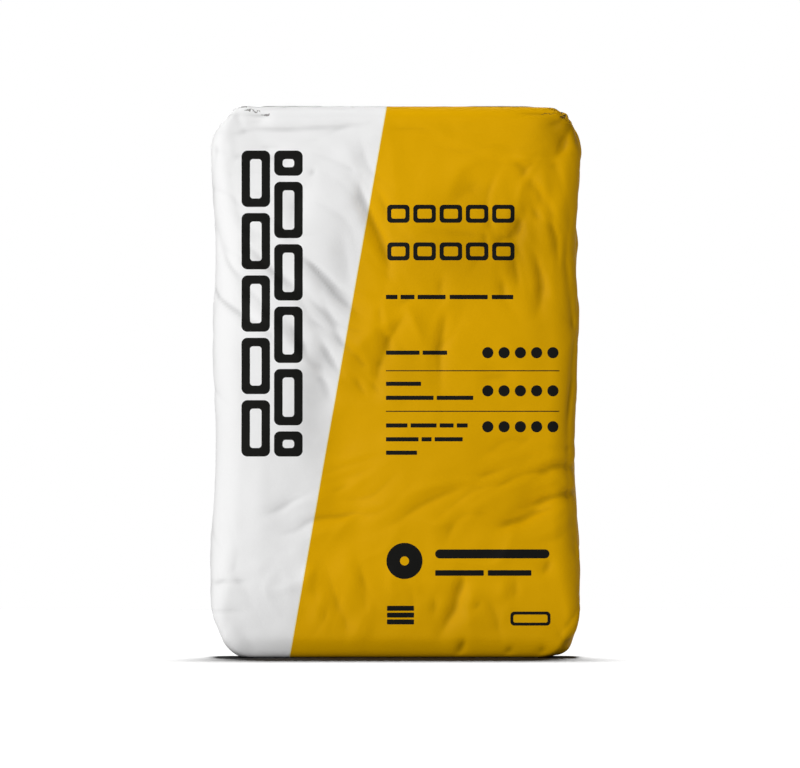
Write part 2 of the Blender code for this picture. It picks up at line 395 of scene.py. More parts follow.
SHARP_FOLDS = (
    Fold(-3.4, 8, 12, [(-8, 384), (-10, 400), (-16, 416), (-22, 431), (-28, 447), (-34, 461), (-39, 474),
                       (-43, 484), (-49, 491)], fade=(0.3, 0.45), run_on=0.1),
    Fold(-3.6, 5, 13, [(-41, 345), (-47, 350), (-55, 358), (-63, 368), (-72, 379), (-80, 388), (-90, 398)],
         soft=1.5),
    Fold(-3.0, 6, 13, [(-54, 308), (-58, 321), (-63, 332), (-70, 342), (-80, 352), (-90, 362)], soft=1.5),
    Fold(2.8, 24, 8, [(-82, 287), (-88, 296), (-94, 302), (-102, 311), (-110, 320), (-118, 330), (-128, 337),
                      (-138, 344), (-146, 352)], fade=(0.3, 0.4), run_on=0.1),
    Fold(-1.6, 4, 8, [(-88, 298), (-93, 309), (-98, 321), (-105, 332)]),
    Fold(-2.2, 10, 9, [(-64, 252), (-70, 268), (-74, 282), (-76, 296)], soft=3.0),
    Fold(-2.6, 8, 14, [(-58, 284), (-64, 294), (-70, 304), (-78, 316)], soft=1.5),
    Fold(2.2, 14, 12, [(-50, 298), (-31, 318), (-13, 333), (8, 348)], soft=4.0),
    Fold(-1.6, 5, 9, [(-24, 262), (-18, 288), (-8, 314), (4, 336)]),
    Fold(-1.4, 6, 6, [(-29, 260), (-36, 271), (-43, 284)]),
    Fold(1.8, 10, 8, [(29, 311), (20, 332), (12, 349)]),
    Fold(-2.0, 5, 9, [(45, 268), (43, 290), (44, 312), (47, 332), (48, 348)]),
    Fold(-1.2, 5, 7, [(44, 355), (44, 368), (46, 382)]),
    Fold(-2.8, 4.5, 9, [(141, 344), (143, 360), (144, 374), (141, 390), (137, 405)]),
    Fold(-2.2, 7, 8, [(123, 368), (120, 385), (118, 405)]),
    Fold(-1.2, 5, 5, [(107, 358), (107, 380)]),
    Fold(-3.0, 9, 8, [(96, 414), (110, 419), (119, 426), (126, 436), (130, 452)], soft=2.0),
    Fold(-1.2, 8, 8, [(136, 430), (140, 448), (142, 466)], soft=2.0),
    Fold(-1.8, 4, 12, [(162, 372), (162, 400), (159, 418), (155, 434), (150, 447), (143, 462), (132, 474)]),
    Fold(1.8, 25, 8, [(112, 500), (135, 498), (168, 498)]),
    Fold(-0.7, 5, 5, [(134, 476), (124, 490), (112, 504)]),
    Fold(-0.6, 5, 5, [(124, 480), (136, 494), (150, 506)]),
    Fold(-2.6, 7, 7, [(128, 184), (148, 188), (165, 191), (178, 190), (196, 188)], soft=2.0),
    Fold(-2.8, 12, 7, [(100, 129), (112, 134), (124, 138), (138, 143), (156, 150)]),
    Fold(-2.8, 8, 6, [(126, 150), (148, 158), (168, 163), (190, 166)], fade=(0.4, 0.3)),
    Fold(-1.4, 6, 8, [(-12, 132), (5, 139), (20, 150), (40, 160), (60, 168), (78, 176)]),
    Fold(-1.1, 5, 5, [(51, 116), (55, 130), (62, 139), (76, 144), (96, 143)]),
    Fold(-2.4, 5, 9, [(44, 24), (51, 38), (58, 50), (61, 64), (66, 82)], soft=1.5),
    Fold(1.2, 10, 14, [(76, 20), (74, 45), (80, 75)], soft=3.0),
    Fold(-1.0, 8, 8, [(63, 62), (69, 82)]),
    Fold(-0.9, 4, 4, [(38, 42), (38, 62)]),
    Fold(-1.1, 7, 7, [(74, 46), (86, 58)]),
    Fold(-0.9, 5, 8, [(101, 28), (97, 46), (89, 62)]),
    Fold(-0.8, 4, 4, [(119, 56), (119, 82)]),
    Fold(-1.4, 5, 8, [(147, 83), (154, 100)]),
    Fold(-1.0, 7, 7, [(-47, 28), (-55, 46), (-62, 64), (-69, 90)]),
    Fold(-1.2, 6, 6, [(-27, 40), (-32, 70), (-37, 97)]),
    Fold(-1.6, 5, 8, [(-112, 124), (-97, 130), (-86, 137), (-70, 141), (-42, 143), (-26, 146)]),
    Fold(-0.8, 5, 5, [(-66, 162), (-44, 174)]),
    Fold(0.8, 6, 6, [(-66, 194), (-30, 203), (-16, 208)]),
    Fold(-1.0, 8, 8, [(-124, 141), (-108, 150), (-94, 151)]),
    Fold(-0.9, 3, 4, [(-190, 76), (-160, 77), (-142, 79)]),
    Fold(-0.7, 3, 4, [(-186, 47), (-148, 48)]),
    Fold(-0.4, 4, 4, [(-148, 398), (-153, 420), (-157, 440), (-162, 462), (-165, 480), (-163, 495),
                      (-154, 503), (-138, 507)]),
    Fold(-0.9, 4, 5, [(-150, 505), (-130, 510), (-112, 509), (-94, 505)]),
    Fold(-1.3, 5, 8, [(-142, 502), (-122, 499), (-102, 494)]),
    Fold(-1.5, 4, 8, [(-176, 525), (-156, 524), (-140, 527), (-100, 528), (-60, 530), (-38, 532),
                      (-16, 537)]),
    Fold(-0.6, 3, 4, [(-162, 519), (-118, 522)]),
    Fold(-0.9, 2, 2, [(-84, 480), (-82, 489)]),
)
# The fold line inside the right outline, and the crumpled corners of the ends
EDGE_FOLDS = (
    Fold(-1.0, 3, 3, [(178, 480), (177, 456), (172, 416), (172, 376), (178, 326), (177, 276), (172, 227),
                      (175, 167), (175, 107), (178, 67)], run_on=0.05),
    Fold(-1.3, 2.6, 2.6, [(118, 543.5), (140, 543.5), (160, 542)], soft=0.8, seen=False),
    Fold(-1.6, 3.0, 3.4, [(178, 541), (166, 537), (150, 530)], soft=0.8, seen=False),
    Fold(-1.3, 4.0, 4.0, [(182, 539), (175, 529), (168, 516), (162, 500)], soft=1.2, seen=False),
    Fold(-1.0, 4.0, 4.0, [(187, 537), (186, 525), (184, 508)], soft=1.2, seen=False),
    Fold(1.0, 4.0, 4.0, [(182, 540), (170, 532), (158, 520)], soft=1.0, seen=False),
    Fold(-1.6, 9, 9, [(172, 528), (163, 508), (156, 488)], soft=2.0, seen=False),
    Fold(1.6, 2.4, 2.4, [(-160, 548), (-148, 547.5), (-136, 545)], soft=0.8, seen=False),
    Fold(-1.5, 2.2, 3.0, [(-152, 544.5), (-140, 543), (-124, 541)], soft=0.6, seen=False),
    Fold(-1.4, 6, 6, [(-152, 536), (-140, 535), (-126, 537)], soft=2.0, seen=False),
    Fold(-1.2, 4, 6, [(-160, 545), (-156, 534), (-150, 524)], soft=1.0, seen=False),
    Fold(1.0, 8, 8, [(-152, 4), (-158, 18), (-166, 36)], soft=2.5),
    Fold(-0.5, 6, 6, [(-138, 3), (-146, 14), (-156, 28)], soft=2.5),
    Fold(-1.8, 3, 4, [(62, 3), (66, 12), (68, 20)], soft=0.8),
    Fold(-1.2, 3, 4, [(113, 3), (114, 12)], soft=0.8),
    Fold(-1.2, 3, 4, [(146, 3), (146, 13)], soft=0.8),
    Fold(-2.0, 3, 3, [(164, 6), (172, 16), (184, 20)], soft=0.8),
)


# Areas of small streaks: middle, half size, direction in degrees and its spread,
# number, lengths and height. Measures run round the film.
STREAKS = (
    ((-105, 390), (60, 70), -44, 9, 26, (45, 120), 0.55),
    ((-120, 470), (60, 40), -25, 14, 12, (40, 90), 0.45),
    ((-60, 300), (40, 40), -48, 16, 12, (30, 80), 0.5),
    ((-20, 440), (30, 60), -66, 10, 10, (50, 110), 0.5),
    ((15, 320), (45, 50), 62, 30, 14, (30, 80), 0.4),
    ((120, 430), (50, 60), -78, 14, 20, (40, 100), 0.6),
    ((170, 400), (30, 110), -86, 8, 10, (50, 120), 0.5),
    ((40, 150), (150, 40), 20, 10, 22, (50, 130), 0.5),
    ((160, 170), (50, 50), 14, 14, 12, (40, 90), 0.6),
    ((-20, 55), (150, 30), 90, 22, 26, (30, 75), 0.35),
    ((60, 520), (110, 14), 0, 6, 8, (60, 140), 0.35),
    ((-130, 525), (50, 12), 4, 6, 8, (40, 110), 0.35),
)
# The lower left corner, where none of them has its middle: middle and reach
CALM = ((-172, 44), (28, 26))


def seeded_streaks(dice):
    """Small creases and ridges that fill the areas of STREAKS, and the sides and back."""
    folds = []
    areas = list(STREAKS)
    for side in (-1.0, 1.0):
        areas.append(((side * SIDE_MIDDLE, 280), (40, 230), 90, 30, 40, (30, 110), 0.5))
        areas.append(((side * 300, 300), (80, 200), side * 40, 30, 46, (40, 130), 0.8))
        areas.append(((side * 400, 280), (34, 230), side * 70, 25, 24, (40, 120), 0.7))
        for up, lean in ((520, -1.0), (35, 1.0)):
            areas.append(((side * 215, up), (50, 18), 90, 35, 22, (20, 50), 0.7))
            areas.append(((side * 330, up), (90, 16), 90 + side * lean * 20, 25, 26, (20, 60), 0.6))
    for middle, reach, angle, spread, count, lengths, rise in areas:
        for _ in range(count):
            centre = np.array(middle) + dice.uniform(-1.0, 1.0, 2) * reach
            heading = math.radians(angle + dice.normal(0.0, spread))
            length = dice.uniform(*lengths)
            bend = dice.normal(0.0, 0.12) * length
            way = np.array((math.cos(heading), math.sin(heading)))
            aside = np.array((-way[1], way[0]))
            points = [centre - way * length / 2.0, centre + aside * bend, centre + way * length / 2.0]
            widths = dice.uniform(1.6, 5.0, 2) * (1.0, 1.6)
            if dice.random() < 0.5:
                widths = widths[::-1]
            height = STREAK_RISE * rise * dice.uniform(0.4, 1.2)
            if dice.random() < HOLLOW_SHARE:
                height = -height
            if (np.abs(centre - CALM[0]) > CALM[1]).any():
                folds.append(Fold(height, *widths, points, soft=0.8, seen=False))
    return folds


def fold_field(across, up):
    """How far the folds stand out from the smooth form."""
    height = np.zeros_like(across)
    for fold in BROAD_FOLDS + SHARP_FOLDS + EDGE_FOLDS:
        fold.add_to(height, across, up)
    for fold in seeded_streaks(np.random.default_rng(SEED)):
        for turn in (-1.0, 0.0, 1.0):
            shifted = across + turn * 2.0 * HALF_TUBE
            if turn == 0.0 or np.abs(fold.points[:, 0]).max() > HALF_TUBE - 40.0:
                fold.add_to(height, shifted, up)
    return height * smooth_step((up - LOW) / FOLD_FADE)


def spline_weights(places, count, closed):
    """Weights that read a smooth curve through count values at places among them."""
    first = np.floor(places).astype(int)
    t = places - first
    parts = ((1 - t) ** 3, 3 * t ** 3 - 6 * t ** 2 + 4, -3 * t ** 3 + 3 * t ** 2 + 3 * t + 1, t ** 3)
    weights = np.zeros((len(places), count))
    for step, part in enumerate(parts):
        index = first + step - 1
        index = index % count if closed else np.clip(index, 0, count - 1)
        np.add.at(weights, (np.arange(len(places)), index), part / 6.0)
    return weights


def cloth_mesh(name, points, closed):
    """A mesh of a coarse grid of points, large enough for the simulation."""
    rows, columns = points.shape[:2]
    faces = closed_faces(rows, columns) if closed else ring_faces(rows, columns)
    return make_mesh(name, points.reshape(-1, 3) * (CLOTH_UNIT / MM), faces, [])


def simulate_film(rows, columns):
    """How far a slightly loose film moves out as it settles on the powder.

    The film is a coarse cloth that keeps both ends and is pressed on the powder
    from outside. Its movement is read back at the fine rows and columns.
    """
    coarse_rows = np.linspace(LOW, TOP, int((TOP - LOW) / CLOTH_STEP) + 1)
    coarse_columns = np.linspace(-1.0, 1.0, int(2.0 * HALF_TUBE / CLOTH_STEP) + 1)[1:]
    smooth, across = film_grid(coarse_rows, coarse_columns)
    normal = grid_normals(smooth)
    rise = fold_field(across, smooth[..., 2])[..., None]
    count = len(coarse_columns)

    powder = cloth_mesh("cloth_powder", smooth + normal * (rise - 2.0), True)
    powder.modifiers.new("Collision", "COLLISION")
    powder.collision.thickness_outer = 0.008
    powder.collision.cloth_friction = 8.0
    film = cloth_mesh("cloth_film", smooth + normal * rise, False)
    held = film.vertex_groups.new(name="held")
    last = count * len(coarse_rows)
    held.add(list(range(2 * count)) + list(range(last - 2 * count, last)), 1.0, "REPLACE")
    cloth = film.modifiers.new("Cloth", "CLOTH")
    settings = cloth.settings
    settings.quality = 8
    settings.mass = 0.05
    settings.air_damping = 2.0
    settings.tension_stiffness = settings.compression_stiffness = 40.0
    settings.shear_stiffness = 15.0
    settings.bending_model = "ANGULAR"
    settings.bending_stiffness = 60.0
    settings.bending_damping = 2.0
    settings.tension_damping = settings.compression_damping = 10.0
    settings.vertex_group_mass = "held"
    settings.shrink_min = settings.shrink_max = -CLOTH_LOOSE
    settings.use_pressure = True
    settings.uniform_pressure_force = -4.0
    settings.effector_weights.gravity = 0.0
    cloth.collision_settings.distance_min = 0.008
    cloth.collision_settings.collision_quality = 3
    cloth.point_cache.frame_start = 1
    cloth.point_cache.frame_end = CLOTH_FRAMES

    scene = bpy.context.scene
    start_frame = scene.frame_current
    for frame_number in range(1, CLOTH_FRAMES + 1):
        scene.frame_set(frame_number)
    settled = film.evaluated_get(bpy.context.evaluated_depsgraph_get())
    mesh = settled.to_mesh()
    places = np.empty(3 * len(mesh.vertices), np.float32)
    mesh.vertices.foreach_get("co", places)
    settled.to_mesh_clear()
    places = places.reshape(smooth.shape) / CLOTH_UNIT
    for item in (film, powder):
        mesh = item.data
        bpy.data.objects.remove(item)
        bpy.data.meshes.remove(mesh)
    scene.frame_set(start_frame)

    moved = ((places - smooth) * normal).sum(-1) - rise[..., 0]
    moved = np.clip(moved - np.median(moved), -CLOTH_LIMIT, CLOTH_LIMIT)
    row_places = (rows - LOW) / (TOP - LOW) * (len(coarse_rows) - 1)
    column_places = (columns + 1.0) / 2.0 * count - 1.0
    row_weights = spline_weights(row_places, len(coarse_rows), False)
    return row_weights @ moved @ spline_weights(column_places, count, True).T


def make_mesh(name, points, faces, materials, smooth=True):
    """An object from points in millimetres and faces."""
    mesh = bpy.data.meshes.new(name)
    mesh.from_pydata((points * MM).tolist(), [], faces)
    for material in materials:
        mesh.materials.append(material)
    mesh.update()
    if smooth:
        mesh.shade_smooth()
    item = bpy.data.objects.new(name, mesh)
    bpy.context.scene.collection.objects.link(item)
    return item


def ring_faces(rows, columns):
    """Faces of a grid of points that closes on itself sideways."""
    faces = []
    for row in range(rows - 1):
        low = row * columns
        for column in range(columns):
            after = (column + 1) % columns
            faces.append((low + column, low + after, low + columns + after, low + columns + column))
    return faces


def closed_faces(rows, columns):
    """Faces of such a grid that is also closed at both ends."""
    faces = ring_faces(rows, columns)
    last = columns * (rows - 1)
    faces.append(tuple(range(last, last + columns)))
    faces.append(tuple(range(columns - 1, -1, -1)))
    return faces


def add_print_map(item, across, up):
    """A UV map that holds each point's place on the film, in metres.

    Faces over the back's middle run on past the end of the film's measure.
    """
    mesh = item.data
    layer = mesh.uv_layers.new(name="print")
    corner_point = np.empty(len(mesh.loops), np.int32)
    mesh.loops.foreach_get("vertex_index", corner_point)
    uv = np.stack([across[corner_point], up[corner_point]], -1) * MM
    starts = np.empty(len(mesh.polygons), np.int32)
    counts = np.empty(len(mesh.polygons), np.int32)
    mesh.polygons.foreach_get("loop_start", starts)
    mesh.polygons.foreach_get("loop_total", counts)
    for start, count in zip(starts[counts == 4], counts[counts == 4]):
        corner = uv[start:start + count, 0]
        if corner.max() - corner.min() > 0.3:
            corner[corner > 0.0] -= 2.0 * HALF_TUBE * MM
    layer.data.foreach_set("uv", uv.astype(np.float32).ravel())


def dish(share):
    """How deep the top end has sunk in at a share of its half width."""
    return TOP_DISH * (1.0 - np.clip(share, 0.0, 1.0) ** 3)


def smoothed(field):
    """A field over the closed film, evened out over its nearest neighbours."""
    field = (np.roll(field, 1, 1) + 2.0 * field + np.roll(field, -1, 1)) / 4.0
    padded = np.pad(field, ((1, 1), (0, 0)), "edge")
    return (padded[:-2] + 2.0 * padded[1:-1] + padded[2:]) / 4.0


def pushed(across, up):
    """How far the end corners are pushed in or out."""
    height = np.zeros_like(across)
    for (middle, level), (reach_across, reach_up), rise in PUSHES:
        height += rise * np.exp(-((across - middle) / reach_across) ** 2 - ((up - level) / reach_up) ** 2)
    return height * smooth_step((up - LOW) / PUSH_FADE)


def painted_shade_share(relief, across, up):
    """How much darker the painted shade in the creases and the soft areas of painted shade and light make
    each point.
    """
    wide = relief
    for _ in range(6):
        wide = smoothed(wide)
    unshaded = 1.0 - CREASE_SHADE * smooth_step((wide - relief) / CREASE_DEPTH)
    # Soft areas of painted shade, and of painted light where the strength is below 0
    for (middle, level), (reach_across, reach_up), strength in PAINTED_SHADES:
        share = np.exp(-((across - middle) / reach_across) ** 2 - ((up - level) / reach_up) ** 2)
        unshaded *= 1.0 - strength * share
    return 1.0 - unshaded


def seam_relief(across):
    """How far the overlap seam stands out in the middle of the back."""
    inside = SEAM_HALF + SEAM_STEP - (HALF_TUBE - np.abs(across))
    return SEAM_RISE * smooth_step(inside / (2.0 * SEAM_STEP))


def make_film():
    """The printed film, with its folds."""
    rows = film_rows()
    columns = film_columns()
    points, across = film_grid(rows, columns)
    up = points[..., 2]
    relief = smoothed(fold_field(across, up))
    # Painted shade in the creases and soft areas of painted shade and light, carried to the material as a
    # point attribute
    painted_shade = painted_shade_share(relief, across, up)
    relief = relief + seam_relief(across) + pushed(across, up)
    beside = np.exp(-((np.abs(across) - SIDE_MIDDLE) / SIDE_REACH) ** 2)
    share = np.where(np.abs(across) < SIDE_MIDDLE, FRONT_CLOTH, 1.0)
    share = share + (SIDE_CLOTH - share) * beside
    ends = smooth_step((up - LOW) / CLOTH_FADE) * smooth_step((TOP - up) / CLOTH_FADE)
    relief = relief + simulate_film(rows, columns) * share * ends
    points = points + grid_normals(points) * relief[..., None]
    blocks = [points.reshape(-1, 3)]
    marks = [np.stack([across.ravel(), up.ravel(), painted_shade.ravel()], -1)]
    count = len(columns)
    for share in CAP_SHARES:
        level = points[-1] * (share, share, 1.0)
        level[:, 2] -= dish(share)
        blocks.append(level)
        marks.append(np.stack([across[-1], np.full(count, TOP), np.zeros(count)], -1))
    faces = closed_faces(len(rows) + len(CAP_SHARES), count)
    marks = np.vstack(marks)
    item = make_mesh("sack_film", np.vstack(blocks), faces, [film_material()])
    add_print_map(item, marks[:, 0], marks[:, 1])
    shade = item.data.attributes.new("painted_shade", "FLOAT", "POINT")
    shade.data.foreach_set("value", marks[:, 2].astype(np.float32))
    return item, points


def make_powder(film_points):
    """The powder, just inside the folded film."""
    coarse = film_points[2::3, ::2]
    points = coarse - grid_normals(coarse) * POWDER_INSET
    points = points[points[:, 0, 2] < TOP - POWDER_BELOW]
    faces = closed_faces(*points.shape[:2])
    return make_mesh("powder", points.reshape(-1, 3), faces, [powder_material()])


def flap_relief(x, y, width, depth):
    """How far the folded flaps of an end press through its cover strip."""
    beside = width - depth - np.abs(y) * 0.9
    flap = smooth_step((np.abs(x) - beside) / 2.0 + 0.5)
    overlap = smooth_step((12.0 - np.abs(y)) / 2.0 + 0.5)
    crumple = 0.12 * np.sin(x * 0.21 + 2.0 * np.sin(y * 0.13)) * np.sin(y * 0.17 + np.sin(x * 0.09))
    return 0.45 * flap + 0.3 * overlap * (1.0 - flap) + crumple


def make_top_cover():
    """The cover strip glued in the hollow of the top end."""
    width, depth, _, _ = [float(value) for value in section(np.array(TOP))]
    steps_x = 120
    steps_y = 40
    x = np.linspace(-width * COVER_SHARE, width * COVER_SHARE, steps_x + 1)
    y = np.linspace(-depth * COVER_SHARE, depth * COVER_SHARE, steps_y + 1)
    grid_x, grid_y = np.meshgrid(x, y, indexing="ij")
    reach = np.maximum(np.abs(grid_x) / width, np.abs(grid_y) / depth)
    sunk = COVER_SINK * smooth_step((np.abs(grid_x) / width - COVER_SINK_FROM) / 0.2)
    height = TOP - dish(reach) + GAP + COVER_LIFT + flap_relief(grid_x, grid_y, width, depth) - sunk
    points = np.stack([grid_x, grid_y, height], -1).reshape(-1, 3)
    faces = []
    for i in range(steps_x):
        for j in range(steps_y):
            low = i * (steps_y + 1) + j
            faces.append((low, low + steps_y + 1, low + steps_y + 2, low + 1))
    item = make_mesh("top_cover", points, faces, [cover_material("top_cover")])
    solid = item.modifiers.new("Thickness", "SOLIDIFY")
    solid.thickness = 0.4 * MM
    solid.offset = 0.0
    return item


def make_sleeve():
    """The flattened filling sleeve in the top left edge."""
    low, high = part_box("valve_sleeve")
    length = (high.x - low.x) / MM
    half = (high.y - low.y) / MM / 2.0
    slope = math.tan(math.radians(SLEEVE_SLOPE))
    runs = np.linspace(0.0, length, 26)
    angles = np.linspace(0.0, 2.0 * math.pi, 64, endpoint=False)
    rows = []
    for run in SLEEVE_START + runs * (length - SLEEVE_START) / length:
        across = half * np.sign(np.cos(angles)) * np.abs(np.cos(angles)) ** 0.25
        lift = SLEEVE_HALF * np.sin(angles)
        x = np.full_like(angles, low.x / MM + run)
        z = high.z / MM - SLEEVE_BELOW - slope * run + lift
        rows.append(np.stack([x, -across, z], -1))
    points = np.array(rows)
    faces = ring_faces(len(runs), len(angles))
    return make_mesh("filling_sleeve", points.reshape(-1, 3), faces, [sleeve_material()])


class Nodes:
    """Short ways to add nodes to a node tree."""

    def __init__(self, tree):
        self.tree = tree

    def put(self, socket, value):
        """Link an output to a socket, or set the socket's value."""
        if isinstance(value, bpy.types.NodeSocket):
            self.tree.links.new(value, socket)
        else:
            socket.default_value = value

    def add(self, kind, *values, **settings):
        """A node with its settings, and what goes into its first inputs."""
        node = self.tree.nodes.new(kind)
        for key, value in settings.items():
            setattr(node, key, value)
        for socket, value in zip(node.inputs, values):
            self.put(socket, value)
        return node

    def math(self, operation, *values, clamp=False):
        """A Math node's output."""
        return self.add("ShaderNodeMath", *values, operation=operation, use_clamp=clamp).outputs[0]

    def mix(self, share, first, second):
        """A mix of two colours."""
        node = self.add("ShaderNodeMix", share, data_type="RGBA")
        self.put(node.inputs[6], first)
        self.put(node.inputs[7], second)
        return node.outputs[2]

    def spread(self, value, low, high, to_low=0.0, to_high=1.0):
        """A value moved from one range to another, held at both ends."""
        return self.add("ShaderNodeMapRange", value, low, high, to_low, to_high, clamp=True).outputs[0]

    def noise(self, place, scale, detail=3.0, roughness=0.5, distortion=0.0):
        """A noise texture's value."""
        node = self.add("ShaderNodeTexNoise")
        self.put(node.inputs["Vector"], place)
        self.put(node.inputs["Scale"], scale)
        self.put(node.inputs["Detail"], detail)
        self.put(node.inputs["Roughness"], roughness)
        self.put(node.inputs["Distortion"], distortion)
        return node.outputs[0]

    def place(self):
        """Places on the object, in metres."""
        return self.add("ShaderNodeTexCoord").outputs["Object"]


class Finish(Nodes):
    """The nodes of a new material."""

    def __init__(self, name):
        self.material = bpy.data.materials.new(name)
        self.material.use_nodes = True
        super().__init__(self.material.node_tree)
        self.shader = self.tree.nodes["Principled BSDF"]

    def set(self, name, value):
        """Link or set one of the shader's inputs."""
        self.put(self.shader.inputs[name], value)

    def bump(self, height, distance, strength=1.0):
        """Relief from a height, whose 1 stands a distance in metres."""
        node = self.add("ShaderNodeBump")
        self.put(node.inputs["Strength"], strength)
        self.put(node.inputs["Distance"], distance)
        self.put(node.inputs["Height"], height)
        self.set("Normal", node.outputs[0])


def bar_group():
    """A node group: 1 inside a rectangle with round corners, 0 outside."""
    group = bpy.data.node_groups.new("Printed bar", "ShaderNodeTree")
    names = ("Across", "Up", "Middle across", "Middle up", "Half length", "Half height", "Corner")
    for name in names:
        group.interface.new_socket(name=name, in_out="INPUT", socket_type="NodeSocketFloat")
    group.interface.new_socket(name="Ink", in_out="OUTPUT", socket_type="NodeSocketFloat")
    nodes = Nodes(group)
    ports = nodes.add("NodeGroupInput").outputs
    across, up, middle_across, middle_up, half_length, half_height, corner = [ports[name] for name in names]
    beyond = []
    for place, middle, half in ((across, middle_across, half_length), (up, middle_up, half_height)):
        away = nodes.math("ABSOLUTE", nodes.math("SUBTRACT", place, middle))
        straight = nodes.math("SUBTRACT", half, corner)
        beyond.append(nodes.math("MAXIMUM", nodes.math("SUBTRACT", away, straight), 0.0))
    squares = [nodes.math("MULTIPLY", value, value) for value in beyond]
    distance = nodes.math("SQRT", nodes.math("ADD", *squares))
    nodes.add("NodeGroupOutput", nodes.math("LESS_THAN", distance, corner))
    return group


def print_marks():
    """The generic marks, as bars that add ink or, with sign -1, take it away again.

    Each has its sign, middle across, middle up, half length, half height and corner.
    """
    marks = []

    def bar(left, right, middle, height, corner, sign=1.0):
        marks.append((sign, (left + right) / 2.0, middle, (right - left) / 2.0, height / 2.0, corner))

    def ring(middle, up, size, hole):
        bar(middle - size / 2.0, middle + size / 2.0, up, size, size / 2.0)
        bar(middle - hole / 2.0, middle + hole / 2.0, up, hole, hole / 2.0, -1.0)

    def outline(left, right, low, high, stroke, corner):
        up = (low + high) / 2.0
        bar(left, right, up, high - low, corner)
        bar(left + stroke, right - stroke, up, high - low - 2.0 * stroke, corner / 2.0, -1.0)

    def heading(count, left, middle):
        for place in range(count):
            start = left + 26.2 * place
            outline(start, start + 22.6, middle - 9.0, middle + 9.0, 4.2, 4.0)

    heading(5, -8.5, 443.0)
    heading(5, -8.5, 405.5)
    for left, right in ((-9.5, 2), (5, 19), (22, 50), (54, 92), (96, 117.5)):
        bar(left, right, 360.0, 4.4, 0.6)
    lines = ((304.5, (-9.5, 24), (27, 51.5)), (273.5, (-9.5, 25.5)), (259.5, (-9.5, 38), (41, 77.5)),
             (232.0, (-9.5, 12), (15, 41), (44, 58), (61, 72)), (218.2, (-9.5, 23), (26, 36), (39, 67)),
             (204.8, (-9.5, 21.5)))
    for middle, *words in lines:
        for left, right in words:
            bar(left, right, middle, 4.2, 0.6)
    for middle in (286.5, 246.1):
        bar(-9.5, 163.5, middle, 1.0, 0.2)
    for row in (304.5, 266.5, 230.7):
        for place in range(5):
            middle = 92.0 + 16.25 * place
            bar(middle - 5.6, middle + 5.6, row, 11.2, 5.6)
    bar(39.5, 153.5, 104.0, 9.0, 4.5)
    ring(9.0, 97.0, 36.0, 9.0)
    bar(39.5, 88.0, 85.0, 5.6, 0.8)
    bar(92.0, 135.5, 85.0, 5.6, 0.8)
    for step in range(3):
        bar(-8.5, 18.5, 36.2 + 6.8 * step, 5.0, 0.8)
    outline(114.5, 154.5, 32.5, 46.5, 3.0, 4.0)
    brick = 56.2
    for left, right, shift in ((-153.5, -125.0, 0.0), (-121.0, -92.5, 0.5)):
        for place in range(-1, 6):
            low = max(201.0, 201.0 + (place + shift) * (brick + 6.0))
            high = min(506.0, 201.0 + (place + shift) * (brick + 6.0) + brick)
            if high - low > 12.0:
                outline(left, right, low, high, 8.5, 6.0)
    return marks


